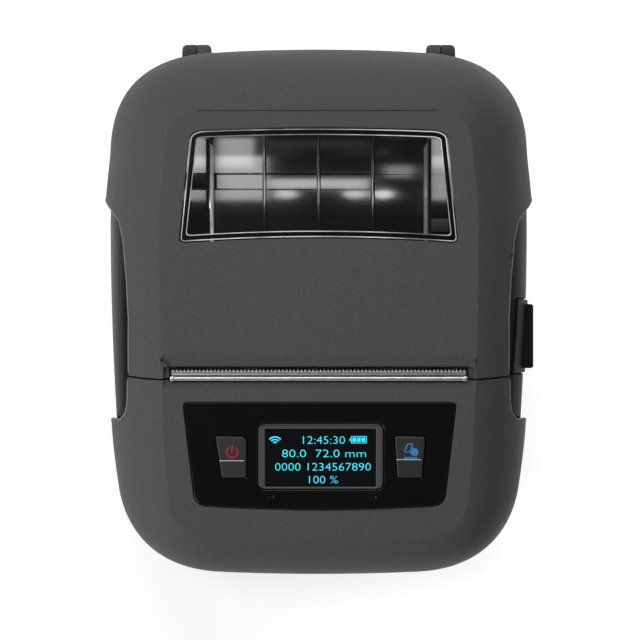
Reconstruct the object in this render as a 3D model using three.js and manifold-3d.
// Mobile receipt printer with a hinged lid, lying on its underside.
// Lengths in millimetres. X to the right, Y towards the lid's hinge, Z up out of the lid.
import * as THREE from 'three';
import { mergeVertices } from 'three/addons/utils/BufferGeometryUtils.js';
import Module from 'manifold-3d';

const wasm = await Module();
wasm.setup();

// Overall form: a rounded slab whose widest section is at widestHeight.
const halfWidth = 58.1;
const halfLength = 71.3;
const widestHeight = 28;
const crownHeight = 61.6;
const crownInset = 26.3;
const crownY = halfLength - crownInset;
const crownRadius = 420;
const creaseRise = 1.3;
const shoulder = { side: 22, rearExtra: 1.5, frontLess: 6, reachShare: 0.7 };
const undersideInset = 9;
const footHeight = 1.2;
const wall = 2.2;
const waistInset = 1.5;
const waistWall = 2;
const waistFloor = 10;
const seam = 0.4;
const overrun = 25;

// Clearances: fit between pieces that rest on each other, running round pins.
const fit = 0.3;
const running = 0.15;

// Half outline from the rear centre to the front centre, Bezier control points as shares of the
// half width and the half length, and the steps on each stretch.
const outlineShares = [
  [[0, 0.9986], [0.17, 0.9986], [0.345, 0.9944], [0.465, 0.9874]],
  [[0.465, 0.9874], [0.8, 0.9818], [0.964, 0.8485], [0.974, 0.6241]],
  [[0.974, 0.6241], [0.978, 0.55], [1, 0.463], [1, 0.337]],
  [[1, 0.337], [1, 0.07], [0.986, -0.21], [0.972, -0.393]],
  [[0.972, -0.393], [0.966, -0.505], [0.95, -0.589], [0.935, -0.673]],
  [[0.935, -0.673], [0.905, -0.82], [0.783, -0.975], [0.482, -0.992]],
  [[0.482, -0.992], [0.327, -0.9986], [0.155, -1.0014], [0, -1.0014]],
];
const outlineSteps = [2, 7, 2, 3, 2, 6, 2];
const upperRings = 6;
const lowerRings = 4;

// Parting line seen from the side, as shares of the half length and the crown height:
// under the front cover from the front skirt to the seam, then under the lid to the rear skirt.
const coverEdgeShares = [
  [-0.429, 0.2987], [-0.415, 0.4545], [-0.4025, 0.599], [-0.408, 0.69],
  [-0.384, 0.742], [-0.3464, 0.766], [-0.244, 0.794],
];
const lidEdgeShares = [
  [-0.2426, 0.799], [-0.028, 0.838], [0.112, 0.844], [0.266, 0.833], [0.337, 0.802],
  [0.38, 0.7175], [0.4095, 0.6006], [0.4334, 0.4545], [0.446, 0.365],
];
const seamTopShare = [-0.262, 1.005];

// The platen's axis lies this far behind the seam's top.
const platenBehindSeam = 8.8806;
const platenY = seamTopShare[0] * halfLength + platenBehindSeam;

// Distances inwards from the widest point of either side.
const sideInset = {
  hingeLidFrom: 28.2, hingeLidTo: 24.8, hingeBaseTo: 21.1, hingeNotchHalfWidth: 17.1,
  paneBottomHalf: 21.4, paneTopHalf: 24, paneTopCornerHalf: 29.1, slotHalfWidth: 18.5,
  slotBevelRearHalf: 17.8, slotBevelTipHalf: 16.5, slotBevelFrontHalf: 17.1, panelTopHalf: 21.9,
  panelBottomHalf: 24.3, panelCornerHalf: 28.8,
  keypadBoardHalfWidth: 23.9, keypadBoardBossX: 25.6, platenHalfLength: 18.1,
  platenShaftRight: 14.4, platenShaftLeft: 12.1, platenBushFrom: 16.4, platenBushTo: 14.4,
  platenReliefHalf: 10.7, trainFaceFrom: 14.2, trainFaceTo: 12.2, trainPinHead: 16.6, motorFrom: 34.1,
  motorTo: 16.1, bracketEarFrom: 17.7, bracketEarTo: 16.7, bracketLugFrom: 25.6, bracketLugTo: 22.6,
  lidScrewX: 32.1, frameFrom: 15.9, frameTo: 14.8, frameRibFrom: 20.1, frameRibTo: 17.1,
  headHalfWidth: 20.1, headPinTo: 14.9, headPlateHalf: 20.6, headSpringX: 40.1, buttonInner: 11.8,
  buttonGripInner: 5.1, latchBarReach: 15.1, latchBarArmFrom: 25.1, latchBarArmTo: 23.1,
  binHalfLength: 16.1, binPostX: 11.2, guideInner: 29.3, guideFootTo: 26.7, sensorFrom: 28.1,
  sensorTo: 20.1, batteryHalfWidth: 27.1, portFace: 4, portFlapFace: 3.6, portBack: 12.1,
  footRearX: 22.1, screwRearX: 13.6,
};

// Distances down from the highest point of the top.
const crownDrop = {
  platenZ: 17.6, bracketEarBottom: 21.6, bracketLugBottom: 20,
  frameTop: 14.3, frameShoulderZ: 25.6, frameWallTop: 14.4, headBottom: 24.6, headTop: 11.6,
  headPivotZ: 23.3, headFinBottom: 20.6, headPlateBottom: 22.1, headPlateTop: 12.1, headSpringZ: 15.6,
  buttonBottom: 37.6, buttonTop: 16.6,
  latchBarZ: 30.6, latchBarArmTop: 20.6, batteryTop: 41.6, binDeckTop: 23.6, guideTop: 11.6,
};

// Distances from the platen's axis towards the hinge.
const platenOffset = {
  paneBottomY: 27.7, paneArchY: 29, slotRearY: -4.94, slotFrontY: -8.91, slotBevelRearY: -1.35,
  slotBevelTipY: -3.1, slotBevelFrontY: -11.02, panelTopY: -14.2, panelOpenTopY: -18.8,
  displayTopY: -19.8, keypadBoardTopY: -15.7, keypadBoardBossTopY: -17.8, motorY: -10.3,
  bracketFrontY: -4, bracketRearY: 13.8, bracketEarRearY: 4.6, bracketLugFrontY: 5.4,
  bracketLugRearY: 6.6, lidScrewY: 10.8, frameFrontY: -16.7, frameRearY: 11.8, frameShoulderY: 6.3,
  frameTopFrontY: -9.7, frameWallFrontY: -15.7, frameWallRearY: -14.5, frameRibFrontY: -16.2,
  frameRibRearY: 5.8, headFrontY: -6.5, headRearY: -9.5, headPivotY: -8, tearBarRearY: -6.3,
  tearBarFootFrontY: -13.2, guideBarY: -8.03, buttonFrontY: -6.7, buttonRearY: 11.4,
  buttonGripFrontY: -5.6, buttonGripRearY: 10.2, buttonSpringY: 2.8, latchBarY: 8.8,
  latchBarArmFrontY: 7.6, latchBarArmRearY: 10.2, latchBarHookFrontY: 5.8, batteryRearY: -19,
  batteryLatchFrontY: -15.2, batteryLatchRearY: -11.7, batteryContactRearY: -17.1, boardRearY: -20.2,
  boardPadRearY: -24.2, screwRearY: -21.2,
};

// Distances back from the front end.
const frontInset = {
  panelSideEndY: 23.8, panelCornerY: 19.2, panelArchY: 18.3, panelOpenBottomY: 19.9,
  displayBottomY: 23.7, lampY: 21.3, keypadBoardBottomY: 19.1,
  keypadBoardBossBottomY: 21.3, batteryFrontY: 10.3, boardFrontY: 9.3, boardPadFrontY: 15.3,
  screwFrontY: 18.3,
};

// Distances forward from the rear end.
const rearInset = {
  hingeY: 1.5, paneSideTopY: 26.5, paneTopY: 23.5, paneTopArchY: 22.9, binDeckRearY: 7.3,
  binPostY: 23.3, footRearY: 17.3,
};

// Hinge knuckles at the rear edge, lid's inside the base's.
const hingeBelowSkirt = 1.984;
const hinge = {
  y: halfLength - rearInset.hingeY,
  z: lidEdgeShares[lidEdgeShares.length - 1][1] * crownHeight - hingeBelowSkirt,
  knuckleRadius: 2.6, pinRadius: 1.1,
  lidFrom: halfWidth - sideInset.hingeLidFrom, lidTo: halfWidth - sideInset.hingeLidTo,
  baseTo: halfWidth - sideInset.hingeBaseTo, lidWebHeight: 4, webDepth: 3.3, baseWebHeight: 5.5,
  notchHalfWidth: halfWidth - sideInset.hingeNotchHalfWidth, notchDepth: 6, notchDrop: 0.3,
};

// Window in the lid, half widths and places along Y.
const pane = {
  bottomHalf: halfWidth - sideInset.paneBottomHalf, bottomY: platenY + platenOffset.paneBottomY,
  archY: platenY + platenOffset.paneArchY, bottomCorner: 1.6,
  topHalf: halfWidth - sideInset.paneTopHalf, sideTopY: halfLength - rearInset.paneSideTopY,
  topCornerHalf: halfWidth - sideInset.paneTopCornerHalf, topY: halfLength - rearInset.paneTopY,
  topArchY: halfLength - rearInset.paneTopArchY, sink: 0.3, thickness: 3.1, flange: 1.8,
  flangeThickness: 1.2,
};

// Paper slot across the seam, with bevels that lead into it.
const slot = {
  halfWidth: halfWidth - sideInset.slotHalfWidth, rearY: platenY + platenOffset.slotRearY,
  frontY: platenY + platenOffset.slotFrontY, drop: 1.3,
  bevelRearY: platenY + platenOffset.slotBevelRearY,
  bevelRearHalf: halfWidth - sideInset.slotBevelRearHalf,
  bevelTipHalf: halfWidth - sideInset.slotBevelTipHalf, bevelTipY: platenY + platenOffset.slotBevelTipY,
  bevelFrontY: platenY + platenOffset.slotBevelFrontY,
  bevelFrontHalf: halfWidth - sideInset.slotBevelFrontHalf,
};

// Control panel set into the front cover.
const panelEdge = {
  topHalf: halfWidth - sideInset.panelTopHalf, bottomHalf: halfWidth - sideInset.panelBottomHalf,
  cornerHalf: halfWidth - sideInset.panelCornerHalf,
};
const displayMargin = { side: 16.95, screenSide: 2.1, screenTop: 1.55, screenBottom: 0.9 };
const displayEdge = {
  halfWidth: panelEdge.bottomHalf - displayMargin.side, topY: platenY + platenOffset.displayTopY,
  bottomY: -halfLength + frontInset.displayBottomY,
};
const display = {
  x: 0.5, ...displayEdge, corner: 1.8, sink: 0.5,
  screenHalf: displayEdge.halfWidth - displayMargin.screenSide,
  screenTopY: displayEdge.topY - displayMargin.screenTop,
  screenBottomY: displayEdge.bottomY + displayMargin.screenBottom, screenDepth: 1.1,
};
const keySize = { width: 8.7, fromDisplay: 2.55, flange: 0.8 };
const keyShares = { top: 0.1888889, bottom: 0.1833333 };
const displayLength = display.topY - display.bottomY;
const key = {
  ...keySize, topY: display.topY - keyShares.top * displayLength,
  bottomY: display.bottomY + keyShares.bottom * displayLength,
  leftX: display.x - display.halfWidth - keySize.fromDisplay - keySize.width,
  rightX: display.x + display.halfWidth + keySize.fromDisplay,
  proud: 0.5, stemDepth: 4.6, flangeDepth: 1.8, flangeThickness: 1, gap: 0.25, switchDepth: 5.4,
  switchHalf: 3,
};
const panelX = 0.3;
const panelOpenMargin = 0.9;
const panel = {
  x: panelX, ...panelEdge, topY: platenY + platenOffset.panelTopY, topCorner: 1.3,
  sideEndY: -halfLength + frontInset.panelSideEndY, cornerY: -halfLength + frontInset.panelCornerY,
  archY: -halfLength + frontInset.panelArchY, sink: 0.1, thickness: 1.2, pocketDepth: 1.7,
  openHalf: key.rightX + key.width + key.flange + panelOpenMargin - panelX,
  openTopY: platenY + platenOffset.panelOpenTopY,
  openBottomY: -halfLength + frontInset.panelOpenBottomY,
};
const leftKeyShares = [[0, 1], [0.89, 1], [1, 0.9], [0.98, 0], [0.2, 0]];
const rightKeyShares = [[0.01, 1], [0.94, 1], [0.98, 0.9], [0.88, 0], [0.1, 0]];
const lampInset = 3.25;
const lamp = {
  offset: display.halfWidth - lampInset, y: -halfLength + frontInset.lampY, radius: 1,
  hole: 1.3,
};
const keypadBoard = {
  halfWidth: halfWidth - sideInset.keypadBoardHalfWidth, topY: platenY + platenOffset.keypadBoardTopY,
  bottomY: -halfLength + frontInset.keypadBoardBottomY, depth: 6, thickness: 1.4,
  bossX: halfWidth - sideInset.keypadBoardBossX, bossTopY: platenY + platenOffset.keypadBoardBossTopY,
  bossBottomY: -halfLength + frontInset.keypadBoardBossBottomY, bossRadius: 1.8,
};

// Platen on the lid and the gear train down to the feed motor.
const platen = {
  y: platenY, z: crownHeight - crownDrop.platenZ, radius: 5,
  halfLength: halfWidth - sideInset.platenHalfLength, shaftRadius: 2.2,
  shaftRight: halfWidth - sideInset.platenShaftRight, shaftLeft: halfWidth - sideInset.platenShaftLeft,
  bushRadius: 3.4, bushFrom: halfWidth - sideInset.platenBushFrom,
  bushTo: halfWidth - sideInset.platenBushTo, slotRadius: 3.9,
  reliefHalf: halfWidth - sideInset.platenReliefHalf, reliefMargin: 4,
};
// The base's rim is trimmed square beside the platen, this far before and behind its axis.
const rimReach = { front: 21.2, rear: 36.8 };
const train = {
  module: 0.5, platenTeeth: 18, idlerTeeth: 24, pinionTeeth: 12, spread: 0.1,
  faceFrom: halfWidth - sideInset.trainFaceFrom, faceTo: halfWidth - sideInset.trainFaceTo,
  idlerPinRadius: 1.2, pinHead: halfWidth - sideInset.trainPinHead, shaftRadius: 1,
};
const toothShares = { tip: 0.5, root: 1.2, tipHeight: 0.75, rootDepth: 1.2 };
const motorRadius = 7.5;
const motorGap = { head: 1.3, floor: 0.5, wall: 0.8 };
const motor = {
  y: platenY + platenOffset.motorY,
  z: crownHeight - crownDrop.headBottom - motorGap.head - motorRadius, radius: motorRadius,
  from: halfWidth - sideInset.motorFrom, to: halfWidth - sideInset.motorTo, boreDepth: 4, bore: 1.4,
  capRadius: 6, capLength: 1.2,
};
const bracket = {
  earFrom: halfWidth - sideInset.bracketEarFrom, earTo: halfWidth - sideInset.bracketEarTo,
  frontY: platenY + platenOffset.bracketFrontY, rearY: platenY + platenOffset.bracketRearY,
  earRearY: platenY + platenOffset.bracketEarRearY, earBottom: crownHeight - crownDrop.bracketEarBottom,
  webThickness: 1.5, lugFrom: halfWidth - sideInset.bracketLugFrom,
  lugTo: halfWidth - sideInset.bracketLugTo, lugFrontY: platenY + platenOffset.bracketLugFrontY,
  lugRearY: platenY + platenOffset.bracketLugRearY, lugBottom: crownHeight - crownDrop.bracketLugBottom,
};
const lidScrew = {
  x: halfWidth - sideInset.lidScrewX, y: platenY + platenOffset.lidScrewY, headRadius: 1.9,
  headHeight: 1.3, shankRadius: 1, bite: 1.3,
};

// Print frame: two side plates joined by a floor and a cross wall.
const floorThickness = 1.2;
const frame = {
  from: halfWidth - sideInset.frameFrom, to: halfWidth - sideInset.frameTo,
  frontY: platenY + platenOffset.frameFrontY, rearY: platenY + platenOffset.frameRearY,
  floor: motor.z - motor.radius - motorGap.floor - floorThickness, thickness: floorThickness,
  top: crownHeight - crownDrop.frameTop, shoulderY: platenY + platenOffset.frameShoulderY,
  shoulderZ: crownHeight - crownDrop.frameShoulderZ,
  topFrontY: platenY + platenOffset.frameTopFrontY,
  wallLeft: motor.capLength + motorGap.wall - motor.from,
  wallFrontY: platenY + platenOffset.frameWallFrontY, wallRearY: platenY + platenOffset.frameWallRearY,
  wallTop: crownHeight - crownDrop.frameWallTop, ribFrom: halfWidth - sideInset.frameRibFrom,
  ribTo: halfWidth - sideInset.frameRibTo, ribFrontY: platenY + platenOffset.frameRibFrontY,
  ribRearY: platenY + platenOffset.frameRibRearY,
};
const head = {
  halfWidth: halfWidth - sideInset.headHalfWidth, frontY: platenY + platenOffset.headFrontY,
  rearY: platenY + platenOffset.headRearY, bottom: crownHeight - crownDrop.headBottom,
  top: crownHeight - crownDrop.headTop, pivotY: platenY + platenOffset.headPivotY,
  pivotZ: crownHeight - crownDrop.headPivotZ, pinRadius: 1, pinTo: halfWidth - sideInset.headPinTo,
  finCount: 9, finWidth: 5, finDepth: 1.1, finBottom: crownHeight - crownDrop.headFinBottom,
  plateHalf: halfWidth - sideInset.headPlateHalf, plateThickness: 0.9,
  plateBottom: crownHeight - crownDrop.headPlateBottom, plateTop: crownHeight - crownDrop.headPlateTop,
  springX: halfWidth - sideInset.headSpringX, springZ: crownHeight - crownDrop.headSpringZ,
  springRadius: 2.2, springWall: 0.7,
};
const tearBarMargin = 0.4;
const tearBar = {
  halfWidth: slot.halfWidth - tearBarMargin, rearY: platenY + platenOffset.tearBarRearY,
  thickness: 0.8, pitch: 1, toothHeight: 0.7, sink: 0.2,
  footFrontY: platenY + platenOffset.tearBarFootFrontY, footThickness: 0.8,
};
const guideBar = {
  y: platenY + platenOffset.guideBarY, depth: 0.5, radius: 0.6, capRadius: 0.75, capLength: 1,
};

// Lid release: a button in the right wall and a bar with two hooks.
const buttonEdge = {
  bottom: crownHeight - crownDrop.buttonBottom, top: crownHeight - crownDrop.buttonTop,
};
const gripInset = { bottom: 5, top: 7.5, spring: 4 };
const button = {
  ...buttonEdge, frontY: platenY + platenOffset.buttonFrontY,
  rearY: platenY + platenOffset.buttonRearY,
  inner: halfWidth - sideInset.buttonInner, skin: 1, flange: 1.1, flangeThickness: 1.2,
  gripFrontY: platenY + platenOffset.buttonGripFrontY,
  gripRearY: platenY + platenOffset.buttonGripRearY,
  gripBottom: buttonEdge.bottom + gripInset.bottom, gripTop: buttonEdge.top - gripInset.top,
  gripInner: halfWidth - sideInset.buttonGripInner, gripSink: 0.2, gripChamfer: 1.4,
  springY: platenY + platenOffset.buttonSpringY, springZ: buttonEdge.bottom + gripInset.spring,
  springRadius: 2.2, springWall: 0.7,
};
const latchBar = {
  y: platenY + platenOffset.latchBarY, z: crownHeight - crownDrop.latchBarZ, radius: 1.8,
  reach: halfWidth - sideInset.latchBarReach, armFrom: halfWidth - sideInset.latchBarArmFrom,
  armTo: halfWidth - sideInset.latchBarArmTo, armFrontY: platenY + platenOffset.latchBarArmFrontY,
  armRearY: platenY + platenOffset.latchBarArmRearY, armTop: crownHeight - crownDrop.latchBarArmTop,
  hookFrontY: platenY + platenOffset.latchBarHookFrontY, hookHeight: 2,
};

// Paper bin: a trough across the base with a deck round its mouth.
const binWall = 1.8;
const binMargin = { front: 1.2, rear: 14.8, bottom: 8.2, deckFront: 1.6 };
const binFrontY = frame.rearY + binMargin.front + binWall;
const binRearY = hinge.y - binMargin.rear;
const binRadius = (binRearY - binFrontY) / 2;
const bin = {
  y: (binFrontY + binRearY) / 2, z: binMargin.bottom + binWall + binRadius,
  radius: binRadius, wall: binWall, halfLength: halfWidth - sideInset.binHalfLength,
  deckTop: crownHeight - crownDrop.binDeckTop, deckThickness: 1.8,
  deckFrontY: binFrontY - binMargin.deckFront,
  deckRearY: halfLength - rearInset.binDeckRearY, ribPitch: 15, ribHalfWidth: 0.8, ribHeight: 1.5,
  postX: halfWidth - sideInset.binPostX, postY: halfLength - rearInset.binPostY, postRadius: 2.5,
};
const guideReach = { half: 16, rackBack: 8, footRear: 4 };
const guide = {
  inner: halfWidth - sideInset.guideInner, thickness: 1.6,
  frontY: bin.y - guideReach.half, rearY: bin.y + guideReach.half,
  top: crownHeight - crownDrop.guideTop, floorGap: 0.6, travel: 11, rackBottom: 5, rackTop: 7.6,
  rackBackY: bin.y - guideReach.rackBack, footTo: halfWidth - sideInset.guideFootTo,
  footRearY: bin.y - guideReach.footRear, rackEnd: 13, rackTeethTo: 3,
};
const guidePinion = { module: 0.8, teeth: 12, pinRadius: 1.4 };
const sensorSize = { inset: 0.2, depth: 2.6 };
const sensor = {
  from: halfWidth - sideInset.sensorFrom, to: halfWidth - sideInset.sensorTo,
  frontY: bin.deckFrontY + sensorSize.inset,
  rearY: bin.deckFrontY + sensorSize.inset + sensorSize.depth, height: 2,
};

// Battery bay in the underside, boards above it.
const batteryTop = crownHeight - crownDrop.batteryTop;
const contactDrop = { bottom: 7, top: 1 };
const battery = {
  halfWidth: halfWidth - sideInset.batteryHalfWidth, frontY: -halfLength + frontInset.batteryFrontY,
  rearY: platenY + platenOffset.batteryRearY, bottom: 1.5, top: batteryTop, corner: 3,
  play: 0.4, bayWall: 1.4,
  latchHalf: 6, latchFrontY: platenY + platenOffset.batteryLatchFrontY,
  latchRearY: platenY + platenOffset.batteryLatchRearY, latchTravel: 3, latchFlange: 2,
  latchFlangeY: 0.6, latchFlangeThickness: 1.2, latchBottom: 1.6, contactHalf: 8,
  contactBottom: batteryTop - contactDrop.bottom, contactTop: batteryTop - contactDrop.top,
  contactRearY: platenY + platenOffset.batteryContactRearY, contactHoleReach: 3,
};
const boardMargin = { side: 3, pad: 3 };
const board = {
  halfWidth: battery.halfWidth + boardMargin.side, frontY: -halfLength + frontInset.boardFrontY,
  rearY: platenY + platenOffset.boardRearY, padHeight: 0.6, padRadius: 2,
  padX: battery.halfWidth - boardMargin.pad, padFrontY: -halfLength + frontInset.boardPadFrontY,
  padRearY: platenY + platenOffset.boardPadRearY, thickness: 1.4,
};
// Components on the main board: left, right, front, rear and height as shares of the board.
const componentShares = [
  [-0.35, 0.06, 0.38, 0.75, 0.055], [0.2, 0.62, 0.5, 0.78, 0.045], [0.25, 0.7, 0.1, 0.26, 0.1],
  [-0.8, -0.5, 0.15, 0.5, 0.08], [-0.85, -0.45, 0.7, 0.85, 0.12],
];

// Sockets behind a rubber flap in the left wall.
const port = {
  face: halfWidth - sideInset.portFace, bottom: 10.9, top: 24, halfLength: 11.3, flapThickness: 1.3,
  flapFace: halfWidth - sideInset.portFlapFace, socketZ: 17.5, back: halfWidth - sideInset.portBack,
  dataY: -6, dataHalf: 4.5, dataHeight: 3.4, shellWall: 0.6, tongueHalf: 3, tongueHeight: 0.6,
  chargeY: 6, chargeRadius: 3.6, chargeBore: 2.8, chargePin: 0.8, inset: 0.2,
};
const screwBesideBattery = 6.5;
const screw = {
  headRadius: 2.3, headHeight: 1.6, headBottom: 1.6, shankRadius: 1.1, length: 30, postRadius: 2.8,
  postTop: 24, frontX: battery.halfWidth + screwBesideBattery,
  frontY: -halfLength + frontInset.screwFrontY,
  rearX: halfWidth - sideInset.screwRearX, rearY: platenY + platenOffset.screwRearY, boreTop: 34,
};
// The front feet stand between the front and rear screws, at a share of the way.
const footShare = 0.5454545;
const footBesideBattery = 9;
const foot = {
  radius: 4, height: 2.2, rearX: halfWidth - sideInset.footRearX,
  rearY: halfLength - rearInset.footRearY, frontX: battery.halfWidth + footBesideBattery,
  frontY: screw.rearY + (screw.frontY - screw.rearY) * footShare,
};

// Round pieces: sides for large, middle and small radii, and steps along curved stretches.
const largeSides = 40;
const middleSides = 20;
const smallSides = 12;
const cornerSteps = 3;
const bendSteps = 4;
const crownSteps = 18;
const slotSteps = 10;

const finishes = {
  housing: { color: 0x4d4b49, roughness: 0.62, metalness: 0 },
  darkPlastic: { color: 0x232323, roughness: 0.45, metalness: 0 },
  glossBlack: { color: 0x0b0c0e, roughness: 0.12, metalness: 0 },
  clear: { color: 0xdfe4e6, roughness: 0.05, metalness: 0, transparent: true, opacity: 0.3 },
  keyCap: { color: 0x29292a, roughness: 0.5, metalness: 0 },
  displayGrey: { color: 0x4b4b4c, roughness: 0.35, metalness: 0 },
  steel: { color: 0xb9bbbd, roughness: 0.25, metalness: 1 },
  rubber: { color: 0x1b1b1b, roughness: 0.9, metalness: 0 },
  circuit: { color: 0x1f4a34, roughness: 0.5, metalness: 0 },
  ceramic: { color: 0xe3dccb, roughness: 0.3, metalness: 0 },
  gearWhite: { color: 0xd8d6cf, roughness: 0.5, metalness: 0 },
  brass: { color: 0xb08a45, roughness: 0.35, metalness: 1 },
  lens: { color: 0x8f9498, roughness: 0.2, metalness: 0, transparent: true, opacity: 0.6 },
};

const quarterTurn = Math.PI / 2;
const fullTurn = Math.PI * 2;
const printer = new THREE.Group();

// Closed geometry to a solid that can be joined and cut.
function toSolid(geometry) {
  geometry.deleteAttribute('normal');
  geometry.deleteAttribute('uv');
  const merged = mergeVertices(geometry);
  return new wasm.Manifold(new wasm.Mesh({
    numProp: 3,
    vertProperties: new Float32Array(merged.attributes.position.array),
    triVerts: new Uint32Array(merged.index.array),
  }));
}

function join(...solids) {
  return solids.reduce((whole, next) => whole.add(next));
}

function carve(solid, ...tools) {
  return tools.reduce((whole, tool) => whole.subtract(tool), solid);
}

function box(x0, x1, y0, y1, z0, z1) {
  const geometry = new THREE.BoxGeometry(Math.abs(x1 - x0), Math.abs(y1 - y0), Math.abs(z1 - z0));
  geometry.translate((x0 + x1) / 2, (y0 + y1) / 2, (z0 + z1) / 2);
  return toSolid(geometry);
}

function rodX(radius, x0, x1, y, z, sides = middleSides) {
  const geometry = new THREE.CylinderGeometry(radius, radius, Math.abs(x1 - x0), sides);
  geometry.rotateZ(quarterTurn);
  geometry.translate((x0 + x1) / 2, y, z);
  return toSolid(geometry);
}

function rodY(radius, y0, y1, x, z, sides = smallSides) {
  const geometry = new THREE.CylinderGeometry(radius, radius, Math.abs(y1 - y0), sides);
  geometry.translate(x, (y0 + y1) / 2, z);
  return toSolid(geometry);
}

function rodZ(radius, z0, z1, x, y, sides = smallSides) {
  const geometry = new THREE.CylinderGeometry(radius, radius, Math.abs(z1 - z0), sides);
  geometry.rotateX(quarterTurn);
  geometry.translate(x, y, (z0 + z1) / 2);
  return toSolid(geometry);
}

// Outline of [y, z] points carried along X.
function prismX(points, x0, x1) {
  const shape = new THREE.Shape(points.map(([y, z]) => new THREE.Vector2(y, z)));
  const length = Math.abs(x1 - x0);
  const geometry = new THREE.ExtrudeGeometry(shape, { depth: length, bevelEnabled: false });
  const basis = new THREE.Matrix4().makeBasis(
    new THREE.Vector3(0, 1, 0),
    new THREE.Vector3(0, 0, 1),
    new THREE.Vector3(1, 0, 0),
  );
  geometry.applyMatrix4(basis);
  geometry.translate(Math.min(x0, x1), 0, 0);
  return toSolid(geometry);
}

// Outline of [x, z] points carried along Y.
function prismY(points, y0, y1) {
  const shape = new THREE.Shape(points.map(([x, z]) => new THREE.Vector2(x, z)));
  const length = Math.abs(y1 - y0);
  const geometry = new THREE.ExtrudeGeometry(shape, { depth: length, bevelEnabled: false });
  geometry.rotateX(quarterTurn);
  geometry.translate(0, Math.max(y0, y1), 0);
  return toSolid(geometry);
}

// Outline of [x, y] points carried along Z.
function prismZ(points, z0, z1) {
  const shape = new THREE.Shape(points.map(([x, y]) => new THREE.Vector2(x, y)));
  const geometry = new THREE.ExtrudeGeometry(shape, { depth: z1 - z0, bevelEnabled: false });
  geometry.translate(0, 0, z0);
  return toSolid(geometry);
}

function roundedRectangle(x0, x1, y0, y1, radius) {
  const centres = [[x1, y1, 0], [x0, y1, 1], [x0, y0, 2], [x1, y0, 3]];
  return centres.flatMap(([x, y, quarter]) => {
    const cx = x === x1 ? x - radius : x + radius;
    const cy = y === y1 ? y - radius : y + radius;
    return Array.from({ length: cornerSteps + 1 }, (_, step) => {
      const angle = (quarter + step / cornerSteps) * quarterTurn;
      return [cx + radius * Math.cos(angle), cy + radius * Math.sin(angle)];
    });
  });
}

// Points of an open line moved sideways, to the right of its direction, by the same distance
// from both stretches that meet at a corner.
function moveLine(points, distance) {
  const steps = points.slice(1).map(([a, b], index) => {
    const [a0, b0] = points[index];
    return new THREE.Vector2(a - a0, b - b0).normalize();
  });
  return points.map(([a, b], index) => {
    const into = steps[Math.max(index - 1, 0)];
    const onwards = steps[Math.min(index, steps.length - 1)];
    const along = into.clone().add(onwards).normalize();
    const reach = distance / along.dot(into);
    return [a + reach * along.y, b - reach * along.x];
  });
}

// Points of a closed outline, in anticlockwise order, moved outwards.
function growOutline(points, distance) {
  const count = points.length;
  return points.map(([a, b], index) => {
    const [a0, b0] = points[(index + count - 1) % count];
    const [a1, b1] = points[(index + 1) % count];
    const length = Math.hypot(a1 - a0, b1 - b0);
    return [a + (distance * (b1 - b0)) / length, b - (distance * (a1 - a0)) / length];
  });
}

function toGeometry(solid) {
  const { vertProperties, triVerts } = solid.getMesh();
  const geometry = new THREE.BufferGeometry();
  geometry.setAttribute('position', new THREE.BufferAttribute(vertProperties, 3));
  geometry.setIndex(new THREE.BufferAttribute(triVerts, 1));
  return geometry;
}

function addPart(name, solid, finish) {
  const geometry = toGeometry(solid);
  geometry.computeVertexNormals();
  const mesh = new THREE.Mesh(geometry, new THREE.MeshStandardMaterial(finish));
  mesh.name = name;
  printer.add(mesh);
  return mesh;
}

// Height of the flat top facet at a place along Y.
function crownAt(y) {
  return crownHeight - (y - crownY) ** 2 / (2 * crownRadius);
}

// Right half of the outline, then the left half mirrored, as one closed ring with inward normals.
function outlineRing() {
  const half = outlineShares.flatMap((controls, index) => {
    const points = controls.map(([x, y]) => new THREE.Vector2(x * halfWidth, y * halfLength));
    const curve = new THREE.CubicBezierCurve(...points);
    return curve.getPoints(outlineSteps[index]).slice(index === 0 ? 0 : 1);
  });
  const mirrored = half.slice(1, -1).reverse().map((point) => new THREE.Vector2(-point.x, point.y));
  const ring = [...half, ...mirrored];
  return ring.map((point, index) => {
    const before = ring[(index + ring.length - 1) % ring.length];
    const after = ring[(index + 1) % ring.length];
    const along = after.clone().sub(before).normalize();
    return { x: point.x, y: point.y, nx: -along.y, ny: along.x };
  });
}

const ring = outlineRing();
const halfCount = ring.length / 2;

function ringShoulder({ ny }) {
  return shoulder.side + shoulder.rearExtra * Math.max(ny, 0) - shoulder.frontLess * Math.max(-ny, 0);
}

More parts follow.
